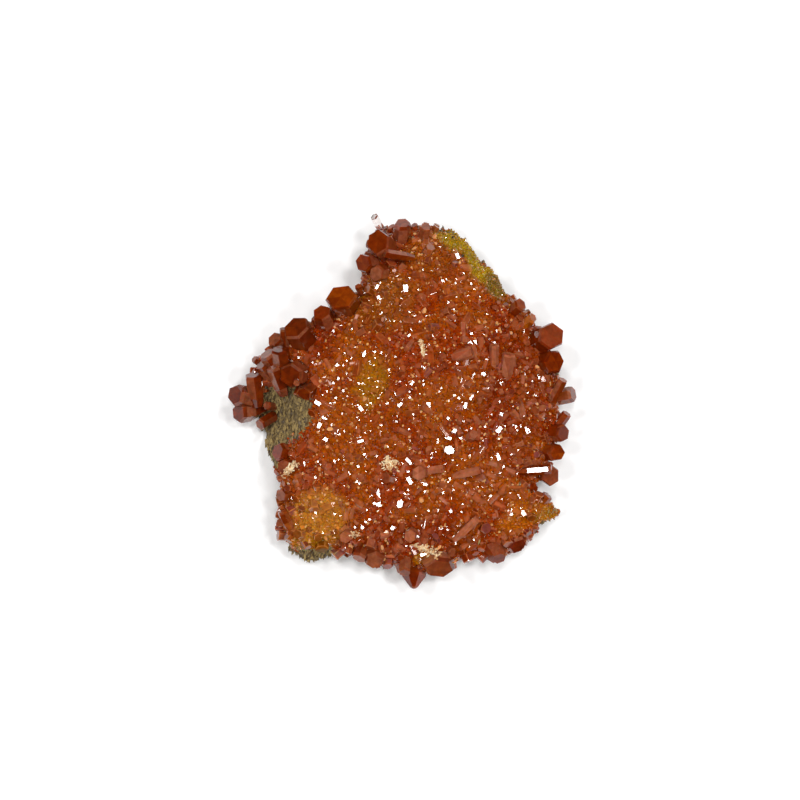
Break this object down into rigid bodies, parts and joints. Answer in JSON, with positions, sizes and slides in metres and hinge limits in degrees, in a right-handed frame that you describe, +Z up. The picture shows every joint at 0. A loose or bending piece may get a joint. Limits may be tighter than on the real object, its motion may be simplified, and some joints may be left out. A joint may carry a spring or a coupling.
{
  "type": "vanadinite on matrix",
  "caption": "Mineral specimen: a flat-backed slab of sandy rock with hexagonal red-orange crystals round its rim and a druse of small ones on top.",
  "frame": {"origin": "under the middle of the whole specimen, at the level of its flat cut back", "axes": "+Z up, out of the crystal-covered face; +Y along the specimen's longest side; +X along its width"},
  "size_m": [0.062, 0.0664, 0.0159],
  "materials": {
    "matrix": "rough, sandy, granular",
    "red_crystal": "resinous gloss, translucent at the edges",
    "orange_crystal": "resinous gloss, translucent",
    "brown_crystal": "resinous gloss with pinkish reflections",
    "yellow_crystal": "resinous gloss",
    "clear_crystal": "clear, glassy, faintly pink"
  },
  "bodies": {
    "root": {"matrix_rock": "matrix", "left_rim_plate_upper_group": "red_crystal", "left_foot_crystal": "red_crystal", "left_orange_stub": "orange_crystal", "left_pale_stub": "orange_crystal", "left_fan_prism_outer_group": "brown_crystal", "left_pink_stub": "brown_crystal", "left_red_hexagon_group": "red_crystal", "upper_left_hexagon": "red_crystal", "great_hexagon": "orange_crystal", "upper_left_twin_group": "red_crystal", "lobe_tabular_crystal_group": "orange_crystal", "lobe_side_hexagon_group": "red_crystal", "top_needle": "clear_crystal", "top_red_point": "red_crystal", "top_right_stub": "orange_crystal", "right_upper_stub": "red_crystal", "right_yellow_stub": "yellow_crystal", "right_great_hexagon_group": "red_crystal", "right_slanting_prism": "orange_crystal", "right_outer_prism": "brown_crystal", "right_slim_prism_group": "red_crystal", "right_brown_crystal": "red_crystal", "right_lying_prism": "orange_crystal", "right_lower_hexagon": "red_crystal", "right_dark_crystal": "red_crystal", "right_corner_prism_group": "orange_crystal", "bottom_right_round": "brown_crystal", "bottom_right_wedge": "red_crystal", "bottom_great_prism": "brown_crystal", "bottom_red_point": "red_crystal", "bottom_slim_prism": "brown_crystal", "bottom_round_hexagon_group": "brown_crystal", "lower_left_red_crystal_group": "red_crystal", "lower_left_clear_crystal": "orange_crystal", "lower_left_long_prism": "orange_crystal", "plateau_upper_prism": "brown_crystal", "plateau_upright_prism": "brown_crystal", "plateau_right_prism": "brown_crystal", "plateau_diagonal_prism": "orange_crystal", "plateau_lower_hexagon": "orange_crystal", "plateau_left_hexagon": "orange_crystal", "plateau_middle_hexagon_group": "brown_crystal", "plateau_low_prism": "orange_crystal", "plateau_round_crystal": "red_crystal"}
  },
  "joints": []
}
